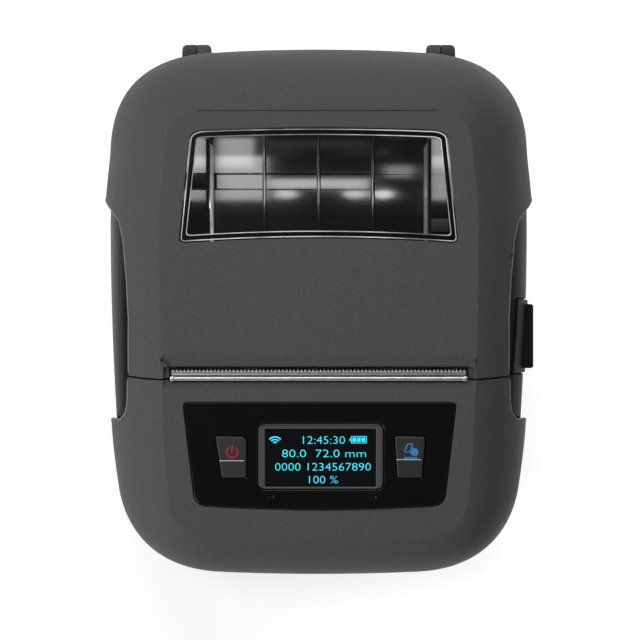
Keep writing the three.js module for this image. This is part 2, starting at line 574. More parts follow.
// The whole housing's outer form, made smaller all round by skin.
function envelope(skin) {
  const levels = [];
  for (let level = lowerRings; level > 0; level -= 1) {
    const angle = (level / lowerRings) * quarterTurn;
    const inset = skin + undersideInset * (1 - Math.cos(angle));
    const z = widestHeight - (widestHeight - footHeight - skin) * Math.sin(angle);
    levels.push(ring.map((p) => [p.x - p.nx * inset, p.y - p.ny * inset, z]));
  }
  const top = (y) => crownAt(y) - skin;
  for (let level = 0; level <= upperRings; level += 1) {
    levels.push(ring.map((p) => {
      const radius = ringShoulder(p);
      const creaseY = p.y - p.ny * (skin + radius * shoulder.reachShare);
      const full = top(creaseY) + creaseRise - widestHeight;
      const angle = (level / upperRings) * Math.asin((full - creaseRise) / full);
      const inset = skin + radius * (1 - Math.cos(angle));
      const y = p.y - p.ny * inset;
      const z = level === upperRings ? top(y) : widestHeight + full * Math.sin(angle);
      return [p.x - p.nx * inset, y, z];
    }));
  }
  const count = ring.length;
  const indices = [];
  for (let level = 0; level < levels.length - 1; level += 1) {
    for (let i = 0; i < count; i += 1) {
      const a0 = level * count + i;
      const a1 = level * count + ((i + 1) % count);
      const b0 = a0 + count;
      const b1 = a1 + count;
      indices.push(a0, b0, a1, a1, b0, b1);
    }
  }
  const last = (levels.length - 1) * count;
  for (let i = 0; i < halfCount; i += 1) {
    const right0 = i;
    const right1 = i + 1;
    const left0 = (count - i) % count;
    const left1 = count - i - 1;
    if (i > 0) {
      indices.push(last + right0, last + left0, last + left1);
      indices.push(right0, left1, left0);
    }
    if (i < halfCount - 1 || left1 !== right1) {
      indices.push(last + right0, last + left1, last + right1);
      indices.push(right0, right1, left1);
    }
  }
  const geometry = new THREE.BufferGeometry();
  geometry.setAttribute('position', new THREE.Float32BufferAttribute(levels.flat(2), 3));
  geometry.setIndex(indices);
  return toSolid(geometry);
}

// Slice between two depths below the top facet, over the whole length and a given half width.
function crownSlab(upper, lower, half = halfWidth) {
  const ys = Array.from({ length: crownSteps + 1 }, (_, i) => halfLength * (1 - (2 * i) / crownSteps));
  const topLine = ys.map((y) => [y, crownAt(y) - upper]);
  const lowLine = [...ys].reverse().map((y) => [y, crownAt(y) - lower]);
  return prismX([...topLine, ...lowLine], -half, half);
}

const coverEdge = coverEdgeShares.map(([y, z]) => [y * halfLength, z * crownHeight]);
const lidEdge = lidEdgeShares.map(([y, z]) => [y * halfLength, z * crownHeight]);
const seamTop = [seamTopShare[0] * halfLength, seamTopShare[1] * crownHeight];
const farRear = halfLength + overrun;
const farTop = crownHeight + overrun;
const farSide = halfWidth + overrun;

// Space that belongs to the lid: behind the seam and above its lower edge.
function lidRegion() {
  const [seamY, seamZ] = lidEdge[0];
  const rearSkirt = lidEdge[lidEdge.length - 1];
  const half = seam / 2;
  return prismX([
    [seamTop[0] + half, farTop], [seamTop[0] + half, seamTop[1]], [seamY + half, seamZ],
    ...lidEdge.slice(1), [farRear, rearSkirt[1]], [farRear, farTop],
  ], -farSide, farSide);
}

// Space that belongs to the front cover.
function coverRegion() {
  const [seamY] = lidEdge[0];
  const last = coverEdge[coverEdge.length - 1];
  const half = seam / 2;
  return prismX([
    [-farRear, coverEdge[0][1]], ...coverEdge.slice(0, -1), [seamY - half, last[1]],
    [seamTop[0] - half, seamTop[1]], [seamTop[0] - half, farTop], [-farRear, farTop],
  ], -farSide, farSide);
}

// Everything above the base's rim, one seam below the covers.
function aboveBase() {
  const [, rearSkirtZ] = lidEdge[lidEdge.length - 1];
  const line = [[-farRear, coverEdge[0][1]], ...coverEdge, ...lidEdge, [farRear, rearSkirtZ]];
  const moved = moveLine(line, seam);
  return prismX([...moved, [farRear, farTop], [-farRear, farTop]], -farSide, farSide);
}

const outerForm = envelope(0);
const innerForm = envelope(wall);
const sealForm = envelope(wall + fit);
const shell = outerForm.subtract(innerForm);
const cavitySkin = waistInset + waistWall;
const baseCavity = envelope(cavitySkin);
const baseInside = envelope(cavitySkin + fit);
const floorTop = footHeight + cavitySkin;

// Outline of the lid's window, grown by a margin.
function windowOutline(margin) {
  const arch = (x, edge, middle, half) => middle + (edge - middle) * (x / half) ** 2;
  const points = [];
  for (let i = 0; i <= bendSteps; i += 1) {
    const x = ((2 * i) / bendSteps - 1) * (pane.bottomHalf - pane.bottomCorner);
    points.push([x, arch(x, pane.bottomY, pane.archY, pane.bottomHalf)]);
  }
  points.push([pane.bottomHalf, pane.bottomY + pane.bottomCorner]);
  points.push([pane.topHalf, pane.sideTopY]);
  const bend = new THREE.QuadraticBezierCurve(
    new THREE.Vector2(pane.topHalf, pane.sideTopY),
    new THREE.Vector2(pane.topHalf, pane.topY),
    new THREE.Vector2(pane.topCornerHalf, pane.topY),
  );
  bend.getPoints(bendSteps).slice(1).forEach((p) => points.push([p.x, p.y]));
  points.push([0, pane.topArchY]);
  bend.getPoints(bendSteps).slice(1).reverse().forEach((p) => points.push([-p.x, p.y]));
  points.push([-pane.topHalf, pane.sideTopY]);
  points.push([-pane.bottomHalf, pane.bottomY + pane.bottomCorner]);
  return growOutline(points, margin);
}

// Outline of the control panel, grown by a margin.
function panelOutline(margin) {
  const corner = new THREE.QuadraticBezierCurve(
    new THREE.Vector2(panel.bottomHalf, panel.sideEndY),
    new THREE.Vector2(panel.bottomHalf, panel.cornerY),
    new THREE.Vector2(panel.cornerHalf, panel.cornerY),
  );
  const right = [
    [panel.topHalf - panel.topCorner, panel.topY], [panel.topHalf, panel.topY - panel.topCorner],
    ...corner.getPoints(bendSteps).map((p) => [p.x, p.y]),
  ];
  const left = right.map(([x, y]) => [-x, y]);
  const clockwise = [...right, [0, panel.archY], ...[...left].reverse()];
  const centred = growOutline(clockwise.reverse(), margin);
  return centred.map(([x, y]) => [x + panel.x, y]);
}

function keyOutline(shares, x, margin) {
  const height = key.topY - key.bottomY;
  const points = shares.map(([u, v]) => [x + u * key.width, key.bottomY + v * height]);
  return growOutline(points.reverse(), margin);
}

const farDown = -overrun;

// Slice of the top between two depths, cut to an outline.
function crownPiece(outline, upper, lower) {
  return prismZ(outline, farDown, farTop).intersect(crownSlab(upper, lower));
}

// Wedges that lead from the lid and the cover down into the paper slot.
function slotCut() {
  const lidWedge = prismZ([
    [-slot.bevelRearHalf, slot.bevelRearY], [-slot.bevelTipHalf, slot.bevelTipY],
    [-slot.halfWidth, slot.rearY], [-slot.halfWidth, slot.frontY],
    [slot.halfWidth, slot.frontY], [slot.halfWidth, slot.rearY],
    [slot.bevelTipHalf, slot.bevelTipY], [slot.bevelRearHalf, slot.bevelRearY],
  ], farDown, farTop).intersect(prismX([
    [slot.bevelRearY, crownAt(slot.bevelRearY)], [slot.bevelRearY, farTop], [slot.frontY, farTop],
    [slot.frontY, crownAt(slot.rearY) - slot.drop], [slot.rearY, crownAt(slot.rearY) - slot.drop],
  ], -farSide, farSide));
  const coverWedge = prismX([
    [slot.bevelFrontY, crownAt(slot.bevelFrontY)], [slot.frontY, crownAt(slot.frontY) - slot.drop],
    [slot.rearY, crownAt(slot.frontY) - slot.drop], [slot.rearY, farTop], [slot.bevelFrontY, farTop],
  ], -slot.bevelFrontHalf, slot.bevelFrontHalf);
  const mouth = box(-slot.halfWidth, slot.halfWidth, slot.frontY, slot.rearY, platen.z, farTop);
  return join(lidWedge, coverWedge, mouth);
}
const slotTool = slotCut();

const sides = [['left', -1], ['right', 1]];

// Direction in which the platen leaves when the lid opens, square to its lever from the hinge.
const leverY = hinge.y - platen.y;
const leverZ = platen.z - hinge.z;
const lever = Math.hypot(leverY, leverZ);
const riseY = leverZ / lever;
const riseZ = leverY / lever;
const platenPitch = (train.module * train.platenTeeth) / 2;
const idlerPitch = (train.module * train.idlerTeeth) / 2;
const pinionPitch = (train.module * train.pinionTeeth) / 2;
const idlerDistance = platenPitch + idlerPitch + train.spread;
const idlerY = platen.y - riseY * idlerDistance;
const idlerZ = platen.z - riseZ * idlerDistance;
const pinionDistance = idlerPitch + pinionPitch + train.spread;
const motorAngle = Math.atan2(motor.z - idlerZ, motor.y - idlerY);
const motorY = idlerY + Math.cos(motorAngle) * pinionDistance;
const motorZ = idlerZ + Math.sin(motorAngle) * pinionDistance;

function buildLid() {
  const ears = sides.map(([, side]) => join(
    rodX(hinge.knuckleRadius, side * hinge.lidFrom, side * hinge.lidTo, hinge.y, hinge.z),
    box(side * hinge.lidFrom, side * hinge.lidTo, hinge.y - hinge.webDepth, hinge.y,
      hinge.z, hinge.z + hinge.lidWebHeight),
  ));
  const hingeTools = sides.map(([, side]) => join(
    rodX(hinge.knuckleRadius + fit, side * hinge.lidTo, side * (hinge.baseTo + fit), hinge.y, hinge.z),
    rodX(hinge.pinRadius + running, side * (hinge.lidFrom - overrun), side * hinge.baseTo,
      hinge.y, hinge.z, smallSides),
  ));
  const holes = sides.map(([, side]) => rodZ(lidScrew.shankRadius + running, platen.z,
    crownAt(lidScrew.y) - wall + lidScrew.bite + running, side * lidScrew.x, lidScrew.y));
  const body = join(shell.intersect(lidRegion()), ...ears);
  const opening = prismZ(windowOutline(0), widestHeight, farTop);
  addPart('lid_shell', carve(body, ...hingeTools, ...holes, opening, slotTool), finishes.housing);

  const flangeTop = wall + fit;
  const plate = crownPiece(windowOutline(-fit), pane.sink, pane.thickness);
  const flange = crownPiece(windowOutline(pane.flange), flangeTop, flangeTop + pane.flangeThickness);
  addPart('window_pane', plate.add(flange), finishes.clear);
}

function buildPlaten() {
  const webBottom = wall + fit + bracket.webThickness;
  const web = crownPiece([
    [-bracket.earTo, bracket.frontY], [bracket.earTo, bracket.frontY],
    [bracket.earTo, bracket.rearY], [-bracket.earTo, bracket.rearY],
  ], 0, webBottom);
  const ears = sides.map(([, side]) => box(side * bracket.earFrom, side * bracket.earTo,
    bracket.frontY, bracket.earRearY, bracket.earBottom, crownAt(bracket.frontY) - wall));
  const lugs = sides.map(([, side]) => box(side * bracket.lugFrom, side * bracket.lugTo,
    bracket.lugFrontY, bracket.lugRearY, bracket.lugBottom, crownAt(bracket.frontY) - wall));
  const bores = sides.map(([, side]) => join(
    rodX(platen.shaftRadius + fit, side * platen.halfLength, side * platen.shaftLeft,
      platen.y, platen.z),
    rodZ(lidScrew.shankRadius + running, platen.z, farTop, side * lidScrew.x, lidScrew.y),
  ));
  const body = join(web, ...ears, ...lugs).intersect(sealForm);
  addPart('platen_bracket', carve(body, ...bores, slotTool), finishes.steel);

  addPart('platen_shaft', rodX(platen.shaftRadius, -platen.shaftLeft, platen.shaftRight,
    platen.y, platen.z), finishes.steel);
  const rubber = rodX(platen.radius, -platen.halfLength, platen.halfLength,
    platen.y, platen.z, largeSides);
  const core = rodX(platen.shaftRadius + fit, -farSide, farSide, platen.y, platen.z);
  addPart('platen_rubber', rubber.subtract(core), finishes.rubber);
  for (const [name, side] of sides) {
    const bush = rodX(platen.bushRadius, side * platen.bushFrom, side * platen.bushTo,
      platen.y, platen.z);
    addPart(`platen_bush_${name}`, bush.subtract(core), finishes.darkPlastic);
    const headTop = crownAt(lidScrew.y) - webBottom - fit;
    addPart(`lid_screw_${name}`, join(
      rodZ(lidScrew.headRadius, headTop - lidScrew.headHeight, headTop, side * lidScrew.x, lidScrew.y),
      rodZ(lidScrew.shankRadius, headTop - lidScrew.headHeight / 2,
        crownAt(lidScrew.y) - wall + lidScrew.bite, side * lidScrew.x, lidScrew.y),
    ), finishes.steel);
  }
}

// Spur gear outline with straight-sided teeth, one tooth centred on the phase angle.
function gearOutline(teeth, module, phase) {
  const pitchRadius = (teeth * module) / 2;
  const quarterTooth = fullTurn / teeth / 4;
  const tipRadius = pitchRadius + toothShares.tipHeight * module;
  const rootRadius = pitchRadius - toothShares.rootDepth * module;
  return Array.from({ length: teeth }, (_, index) => phase + (index * fullTurn) / teeth)
    .flatMap((centre) => [
      [rootRadius, centre - toothShares.root * quarterTooth],
      [tipRadius, centre - toothShares.tip * quarterTooth],
      [tipRadius, centre + toothShares.tip * quarterTooth],
      [rootRadius, centre + toothShares.root * quarterTooth],
    ])
    .map(([radius, angle]) => [radius * Math.cos(angle), radius * Math.sin(angle)]);
}

function gearOnX(teeth, phase, y, z, bore) {
  const outline = gearOutline(teeth, train.module, phase).map(([a, b]) => [y + a, z + b]);
  const wheel = prismX(outline, -train.faceTo, -train.faceFrom);
  return wheel.subtract(rodX(bore, -farSide, 0, y, z, smallSides));
}

function buildGears() {
  const towardsPlaten = Math.atan2(riseZ, riseY);
  const halfTooth = (teeth) => fullTurn / teeth / 2;
  const platenPhase = towardsPlaten + Math.PI + halfTooth(train.platenTeeth);
  addPart('platen_gear', gearOnX(train.platenTeeth, platenPhase, platen.y, platen.z,
    platen.shaftRadius + fit), finishes.gearWhite);
  addPart('idler_gear', gearOnX(train.idlerTeeth, towardsPlaten, idlerY, idlerZ,
    train.idlerPinRadius + running), finishes.gearWhite);
  const idlerStep = fullTurn / train.idlerTeeth;
  const offset = (motorAngle - towardsPlaten) / idlerStep;
  const nearest = (offset - Math.round(offset)) * idlerStep;
  const pinionPhase = motorAngle + Math.PI + halfTooth(train.pinionTeeth)
    + (nearest * train.idlerTeeth) / train.pinionTeeth;
  const outline = gearOutline(train.pinionTeeth, train.module, pinionPhase)
    .map(([a, b]) => [motorY + a, motorZ + b]);
  addPart('motor_pinion', join(
    prismX(outline, -train.faceTo, -train.faceFrom),
    rodX(train.shaftRadius, -train.faceTo, -(motor.to - motor.boreDepth + fit),
      motorY, motorZ, smallSides),
  ), finishes.brass);
  const can = join(
    rodX(motor.radius, -motor.to, -motor.from, motorY, motorZ),
    rodX(motor.capRadius, -motor.from, -(motor.from - motor.capLength), motorY, motorZ),
  );
  addPart('motor', can.subtract(rodX(motor.bore, -farSide, -(motor.to - motor.boreDepth),
    motorY, motorZ, smallSides)), finishes.steel);
}

// Space swept by a bush that leaves along the lid's opening direction, seen from the side.
function bushSlot(radius) {
  const start = Math.atan2(riseZ, riseY) + quarterTurn;
  const arc = Array.from({ length: slotSteps + 1 }, (_, i) => {
    const angle = start + (i / slotSteps) * Math.PI;
    return [platen.y + radius * Math.cos(angle), platen.z + radius * Math.sin(angle)];
  });
  const far = ([y, z]) => [y + riseY * overrun, z + riseZ * overrun];
  return [...arc, far(arc[slotSteps]), far(arc[0])];
}

function buildPrintFrame() {
  const profile = [
    [frame.frontY, frame.floor], [frame.rearY, frame.floor], [frame.rearY, frame.shoulderZ],
    [frame.shoulderY, frame.top], [frame.topFrontY, frame.top], [frame.frontY, frame.shoulderZ],
  ];
  const plates = sides.map(([, side]) => prismX(profile, side * frame.from, side * frame.to));
  const middle = (frame.from + frame.to) / 2;
  const base = box(-middle, middle, frame.frontY, frame.rearY, frame.floor, frame.floor + frame.thickness);
  const crossWall = box(frame.wallLeft, middle, frame.wallFrontY, frame.wallRearY,
    frame.floor, frame.wallTop);
  const tools = [
    prismX(bushSlot(platen.slotRadius), -farSide, farSide),
    rodX(motor.bore + fit, -farSide, 0, motorY, motorZ, smallSides),
    rodX(head.pinRadius + running, -farSide, farSide, head.pivotY, head.pivotZ, smallSides),
    rodX(latchBar.radius + running, -farSide, farSide, latchBar.y, latchBar.z, smallSides),
    rodX(train.idlerPinRadius + running, -farSide, 0, idlerY, idlerZ, smallSides),
  ];
  addPart('print_frame', carve(join(...plates, base, crossWall), ...tools), finishes.steel);
  addPart('idler_pin', rodX(train.idlerPinRadius, -train.faceTo, -train.pinHead,
    idlerY, idlerZ, smallSides), finishes.steel);
}

function buildHead() {
  const pins = sides.map(([, side]) => rodX(head.pinRadius, side * (head.halfWidth - fit),
    side * head.pinTo, head.pivotY, head.pivotZ, smallSides));
  const body = box(-head.halfWidth, head.halfWidth, head.rearY, head.frontY, head.bottom, head.top);
  const grooves = Array.from({ length: head.finCount }, (_, index) => {
    const pitch = (2 * head.halfWidth) / head.finCount;
    const x = -head.halfWidth + pitch * (index + 1 / 2);
    return box(x - head.finWidth / 2, x + head.finWidth / 2, head.rearY - fit, head.rearY + head.finDepth,
      head.finBottom, head.springZ - head.springRadius - fit);
  });
  addPart('head_heatsink', join(carve(body, ...grooves), ...pins), finishes.steel);
  const plateRear = head.frontY + fit;
  addPart('head_substrate', box(-head.plateHalf, head.plateHalf, plateRear, plateRear + head.plateThickness,
    head.plateBottom, head.plateTop), finishes.ceramic);
  for (const [name, side] of sides) {
    const x = side * head.springX;
    const sleeve = rodY(head.springRadius, frame.wallRearY + fit, head.rearY - fit, x, head.springZ);
    const bore = rodY(head.springRadius - head.springWall, frame.wallRearY, head.rearY, x, head.springZ);
    addPart(`head_spring_${name}`, sleeve.subtract(bore), finishes.steel);
  }
}

function buildPaperPath() {
  const valley = crownAt(tearBar.rearY) - tearBar.sink - tearBar.toothHeight;
  const footTop = wall + fit;
  const bottom = crownAt(tearBar.rearY) - footTop - tearBar.footThickness;
  const count = Math.floor((2 * tearBar.halfWidth) / tearBar.pitch);
  const start = -(count * tearBar.pitch) / 2;
  const points = [[start, bottom]];
  for (let index = 0; index < count; index += 1) {
    points.push([start + index * tearBar.pitch, valley]);
    points.push([start + (index + 1 / 2) * tearBar.pitch, valley + tearBar.toothHeight]);
  }
  points.push([-start, valley]);
  points.push([-start, bottom]);
  const blade = prismY(points, tearBar.rearY - tearBar.thickness, tearBar.rearY);
  const footPlate = crownPiece([
    [start, tearBar.footFrontY], [-start, tearBar.footFrontY],
    [-start, tearBar.rearY], [start, tearBar.rearY],
  ], footTop, footTop + tearBar.footThickness).intersect(sealForm);
  addPart('tear_bar', blade.add(footPlate), finishes.steel);

  const barZ = crownAt(guideBar.y) - guideBar.depth;
  const barEnd = slot.halfWidth - fit;
  addPart('guide_bar', join(
    rodX(guideBar.radius, -barEnd, barEnd, guideBar.y, barZ, smallSides),
    ...sides.map(([, side]) => rodX(guideBar.capRadius, side * (barEnd - guideBar.capLength),
      side * barEnd, guideBar.y, barZ, smallSides)),
  ), finishes.steel);
}

const screwPlaces = [
  [-screw.frontX, screw.frontY], [screw.frontX, screw.frontY],
  [-screw.rearX, screw.rearY], [screw.rearX, screw.rearY],
];
const footPlaces = [
  [-foot.rearX, foot.rearY], [foot.rearX, foot.rearY],
  [-foot.frontX, foot.frontY], [foot.frontX, foot.frontY],
];

function buildFrontCover() {
  const bosses = screwPlaces.map(([x, y]) => rodZ(screw.postRadius, screw.postTop + fit,
    crownHeight, x, y).intersect(envelope(wall / 2)));
  const bores = screwPlaces.map(([x, y]) => rodZ(screw.shankRadius + fit, 0, screw.boreTop, x, y));
  const boardBosses = sides.flatMap(([, side]) => [keypadBoard.bossTopY, keypadBoard.bossBottomY]
    .map((y) => rodZ(keypadBoard.bossRadius, widestHeight, farTop, side * keypadBoard.bossX + panel.x, y)
      .intersect(crownSlab(wall - fit, keypadBoard.depth - fit))));
  const pocket = crownPiece(panelOutline(0), -overrun, panel.pocketDepth);
  const opening = box(panel.x - panel.openHalf, panel.x + panel.openHalf,
    panel.openBottomY, panel.openTopY, widestHeight, farTop);
  const body = join(shell.intersect(coverRegion()), ...bosses, ...boardBosses);
  addPart('front_cover', carve(body, ...bores, pocket, opening, slotTool), finishes.housing);
}

function buildControls() {
  const keys = [['mode_key', leftKeyShares, key.leftX], ['feed_key', rightKeyShares, key.rightX]];
  const lamps = [['power_light_pipe', -lamp.offset], ['error_light_pipe', lamp.offset]];
  const displayOutline = (margin) => roundedRectangle(
    display.x - display.halfWidth - margin, display.x + display.halfWidth + margin,
    display.bottomY - margin, display.topY + margin, display.corner,
  );
  const plate = crownPiece(panelOutline(-fit), panel.sink, panel.sink + panel.thickness);
  addPart('control_panel', carve(
    plate,
    prismZ(displayOutline(0), widestHeight, farTop),
    ...keys.map(([, shares, x]) => prismZ(keyOutline(shares, x, 0), widestHeight, farTop)),
    ...lamps.map(([, x]) => rodZ(lamp.hole, widestHeight, farTop, x + panel.x, lamp.y)),
  ), finishes.glossBlack);

  const body = crownPiece(displayOutline(-key.gap), display.sink, keypadBoard.depth - fit);
  const screen = crownPiece([
    [display.x - display.screenHalf, display.screenBottomY],
    [display.x + display.screenHalf, display.screenBottomY],
    [display.x + display.screenHalf, display.screenTopY],
    [display.x - display.screenHalf, display.screenTopY],
  ], 0, display.screenDepth);
  addPart('display_module', body.subtract(screen), finishes.displayGrey);

  for (const [name, shares, x] of keys) {
    const cap = crownPiece(keyOutline(shares, x, -key.gap), -key.proud, key.stemDepth);
    const flange = crownPiece(keyOutline(shares, x, key.flange), key.flangeDepth,
      key.flangeDepth + key.flangeThickness);
    addPart(name, cap.add(flange), finishes.keyCap);
  }
  for (const [name, x] of lamps) {
    const pipe = rodZ(lamp.radius, widestHeight, farTop, x + panel.x, lamp.y);
    addPart(name, pipe.intersect(crownSlab(panel.sink, keypadBoard.depth - fit)), finishes.lens);
  }
  const left = panel.x - keypadBoard.halfWidth;
  const right = panel.x + keypadBoard.halfWidth;
  const sheet = crownPiece([
    [left, keypadBoard.bottomY], [right, keypadBoard.bottomY],
    [right, keypadBoard.topY], [left, keypadBoard.topY],
  ], keypadBoard.depth, keypadBoard.depth + keypadBoard.thickness);
  const switches = keys.map(([, , x]) => {
    const centreX = x + key.width / 2;
    const centreY = (key.topY + key.bottomY) / 2;
    return crownPiece([
      [centreX - key.switchHalf, centreY - key.switchHalf],
      [centreX + key.switchHalf, centreY - key.switchHalf],
      [centreX + key.switchHalf, centreY + key.switchHalf],
      [centreX - key.switchHalf, centreY + key.switchHalf],
    ], key.switchDepth, keypadBoard.depth + keypadBoard.thickness / 2);
  });
  addPart('keypad_board', join(sheet, ...switches), finishes.circuit);
}

function buildBase() {
  const [frontY, frontZ] = coverEdge[0];
  const [rearY, rearZ] = lidEdge[lidEdge.length - 1];
  const lower = outerForm.intersect(prismX([
    [-farRear, farTop], [frontY - seam, farTop], [frontY - seam, frontZ], [frontY + wall, waistFloor],
    [rearY - wall, waistFloor], [rearY + seam, rearZ], [rearY + seam, farTop],
    [farRear, farTop], [farRear, -overrun], [-farRear, -overrun],
  ], -farSide, farSide));
  const waist = envelope(waistInset);
  const tub = carve(join(lower, waist), baseCavity, aboveBase());
  const reliefFrontY = platen.y - platen.radius - platen.reliefMargin;
  const platenRelief = box(-platen.reliefHalf, platen.reliefHalf, reliefFrontY, bin.deckFrontY,
    platen.z - platen.radius, farTop);
  const rimTrim = box(-platen.reliefHalf, platen.reliefHalf, platen.y - rimReach.front,
    platen.y + rimReach.rear, platen.z, farTop);
  const rearNotch = box(-hinge.notchHalfWidth, hinge.notchHalfWidth, hinge.y - hinge.notchDepth, farRear,
    hinge.z - hinge.notchDrop, farTop);
  const baseFrom = hinge.lidTo + fit;
  const earPockets = sides.map(([, side]) => rodX(hinge.knuckleRadius + 2 * fit,
    side * (hinge.lidFrom - fit), side * baseFrom, hinge.y, hinge.z));
  const ears = sides.map(([, side]) => join(
    rodX(hinge.knuckleRadius, side * baseFrom, side * hinge.baseTo, hinge.y, hinge.z),
    box(side * baseFrom, side * hinge.baseTo, hinge.y - hinge.webDepth, hinge.y,
      hinge.z - hinge.baseWebHeight, hinge.z),
  ));
  const pinBores = sides.map(([, side]) => rodX(hinge.pinRadius + running, side * (hinge.lidFrom - overrun),
    side * (hinge.baseTo - fit), hinge.y, hinge.z, smallSides));

  const bayTop = battery.top + fit;
  const bayRoof = bayTop + battery.play + battery.bayWall;
  const bayHalf = battery.halfWidth + battery.play;
  const bayFront = battery.frontY - battery.play;
  const bayRear = battery.rearY + battery.play;
  const bay = box(-bayHalf - battery.bayWall, bayHalf + battery.bayWall, bayFront - battery.bayWall,
    bayRear + battery.bayWall, footHeight + wall, bayRoof);
  const bayRoom = prismZ(roundedRectangle(-bayHalf, bayHalf, bayFront, bayRear, battery.corner),
    -overrun, bayTop + battery.play);
  const pads = [-board.padX, board.padX].flatMap((x) => [board.padFrontY, board.padRearY]
    .map((y) => rodZ(board.padRadius, bayTop, bayRoof + board.padHeight, x, y)));
  const contactHole = box(-battery.contactHalf - fit, battery.contactHalf + fit,
    battery.rearY, bayRear + battery.contactHoleReach,
    battery.contactBottom - fit, battery.contactTop + fit);
  const latchHole = box(-battery.latchHalf - fit, battery.latchHalf + fit, battery.latchFrontY - fit,
    battery.latchRearY + battery.latchTravel + fit, -overrun, floorTop + fit);

  const bottom = footHeight + wall / 2;
  const posts = screwPlaces.map(([x, y]) => rodZ(screw.postRadius, bottom, screw.postTop, x, y));
  const rearPosts = sides.map(([, side]) => rodZ(bin.postRadius, bottom,
    bin.deckTop - bin.deckThickness - fit, side * bin.postX, bin.postY));
  const ribs = sides.map(([, side]) => box(side * frame.ribFrom, side * frame.ribTo, frame.ribFrontY,
    frame.ribRearY, bottom, frame.floor - fit));
  const fixtures = join(...posts, ...rearPosts, ...ribs).intersect(outerForm);
  const guidePin = rodZ(guidePinion.pinRadius, bottom, guide.rackTop, 0, bin.y);
  const screwTools = screwPlaces.flatMap(([x, y]) => [
    rodZ(screw.headRadius + fit, -overrun, screw.headBottom + screw.headHeight + fit, x, y),
    rodZ(screw.shankRadius + fit, -overrun, farTop, x, y),
  ]);
  const footTools = footPlaces.map(([x, y]) => rodZ(foot.radius + fit, -overrun, foot.height + fit,
    x, y, middleSides));

  const buttonHole = box(button.inner, farSide, button.frontY - fit, button.rearY + fit,
    button.bottom - fit, button.top + fit);
  const portPocket = box(-farSide, -port.face, -port.halfLength, port.halfLength, port.bottom, port.top);
  const halfData = port.dataHeight / 2 + fit;
  const portHoles = [
    box(-farSide, -port.back, port.dataY - port.dataHalf - fit, port.dataY + port.dataHalf + fit,
      port.socketZ - halfData, port.socketZ + halfData),
    rodX(port.chargeRadius + fit, -farSide, -port.back, port.chargeY, port.socketZ),
  ];
  const bossRooms = screwPlaces.map(([x, y]) => rodZ(screw.postRadius + fit, screw.postTop, farTop, x, y));
  const cleared = carve(tub, platenRelief, rimTrim, rearNotch, ...earPockets, ...bossRooms);
  const body = join(cleared, ...ears, bay, ...pads, fixtures, guidePin);
  addPart('base_shell', carve(body, ...pinBores, bayRoom, contactHole, latchHole, ...screwTools,
    ...footTools, buttonHole, portPocket, ...portHoles), finishes.housing);
}

function buildFasteners() {
  sides.forEach(([name, side]) => addPart(`hinge_pin_${name}`, rodX(hinge.pinRadius,
    side * (hinge.lidFrom + running), side * (hinge.baseTo - 2 * fit), hinge.y, hinge.z, smallSides),
  finishes.steel));
  footPlaces.forEach(([x, y], index) => addPart(`foot_${index + 1}`,
    rodZ(foot.radius, 0, foot.height, x, y, middleSides), finishes.rubber));
  screwPlaces.forEach(([x, y], index) => addPart(`case_screw_${index + 1}`, join(
    rodZ(screw.headRadius, screw.headBottom, screw.headBottom + screw.headHeight, x, y),
    rodZ(screw.shankRadius, screw.headBottom + screw.headHeight / 2, screw.length, x, y),
  ), finishes.steel));
}

function buildBin() {
  const trough = rodX(bin.radius + bin.wall, -bin.halfLength - bin.wall, bin.halfLength + bin.wall,
    bin.y, bin.z, largeSides);
  const below = box(-farSide, farSide, -farRear, farRear, -overrun, bin.deckTop);
  const deck = box(-farSide, farSide, bin.deckFrontY, bin.deckRearY,
    bin.deckTop - bin.deckThickness, bin.deckTop).intersect(baseInside);
  const hollow = rodX(bin.radius, -bin.halfLength, bin.halfLength, bin.y, bin.z, largeSides);
  const slots = [-1, 1].map((side) => {
    const front = side > 0 ? guide.rackBackY : 2 * bin.y - guide.footRearY;
    const rear = side > 0 ? guide.footRearY : 2 * bin.y - guide.rackBackY;
    return box(side * (guide.inner - fit), side * (guide.footTo + guide.travel + fit - guide.thickness / 2),
      front - fit, rear + fit, -overrun, bin.z - bin.radius / 2);
  });
  const ribRoom = rodX(bin.radius - bin.ribHeight, -farSide, farSide, bin.y, bin.z, largeSides);
  const ribs = [-1, 0, 1].map((index) => {
    const x = index * bin.ribPitch;
    return rodX(bin.radius + bin.wall / 2, x - bin.ribHalfWidth, x + bin.ribHalfWidth,
      bin.y, bin.z, largeSides).subtract(ribRoom).intersect(below);
  });
  const body = join(trough.intersect(below), deck).subtract(hollow);
  addPart('paper_bin', carve(join(body, ...ribs), ...slots), finishes.glossBlack);
  addPart('paper_sensor', box(sensor.from, sensor.to, sensor.frontY, sensor.rearY, bin.deckTop + fit,
    bin.deckTop + fit + sensor.height), finishes.darkPlastic);
}

